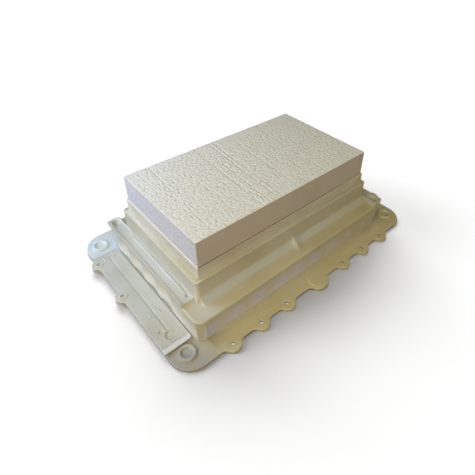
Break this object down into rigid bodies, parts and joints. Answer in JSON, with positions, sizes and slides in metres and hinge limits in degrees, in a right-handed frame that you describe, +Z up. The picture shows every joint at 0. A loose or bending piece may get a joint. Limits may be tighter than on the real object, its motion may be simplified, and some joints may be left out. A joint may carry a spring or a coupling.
{
  "type": "foam brick in flanged housing",
  "caption": "White bead-foam brick standing in a stepped, thin-walled housing of milky plastic with a lobed fixing flange; the brick lifts out.",
  "frame": {"origin": "middle of the flange's flat underside, which is the bottom centre of the whole object", "axes": "+X along the long side, +Y along the short side, +Z up, the way the brick lifts out"},
  "size_m": [0.298, 0.207, 0.085],
  "materials": {
    "bead_foam": "matte expanded beads, rough cut faces",
    "natural_plastic": "milky translucent moulded plastic, satin",
    "plate_plastic": "milky translucent moulded plastic, satin, whiter at its edges",
    "rail_plastic": "milky translucent moulded plastic, satin"
  },
  "bodies": {
    "housing": {"corner_bosses": "natural_plastic", "corner_walls": "natural_plastic", "deck_back": "natural_plastic", "deck_front": "natural_plastic", "deck_left": "natural_plastic", "deck_right": "natural_plastic", "end_plate_left": "plate_plastic", "end_plate_right": "plate_plastic", "end_rail_left": "rail_plastic", "end_rail_right": "rail_plastic", "end_ribs_left": "natural_plastic", "end_ribs_right": "natural_plastic", "end_wall_left": "natural_plastic", "end_wall_right": "natural_plastic", "flange_back": "natural_plastic", "flange_front": "natural_plastic", "flange_left": "natural_plastic", "flange_right": "natural_plastic", "liner_back": "natural_plastic", "liner_front": "natural_plastic", "liner_left": "natural_plastic", "liner_right": "natural_plastic", "locating_pads": "natural_plastic", "plate_lip_left": "plate_plastic", "plate_lip_right": "plate_plastic", "shoulder_gussets": "natural_plastic", "side_ribs_back": "natural_plastic", "side_ribs_front": "natural_plastic", "side_wall_back": "natural_plastic", "side_wall_front": "natural_plastic", "step_back": "natural_plastic", "step_front": "natural_plastic", "step_left": "natural_plastic", "step_right": "natural_plastic", "well_floor": "natural_plastic"},
    "brick": {"foam_brick": "bead_foam"}
  },
  "joints": [
    {"name": "brick_lift", "type": "slide", "parent": "housing", "child": "brick", "axis": [0, 0, 1], "range_m": [0, 0.06]}
  ]
}
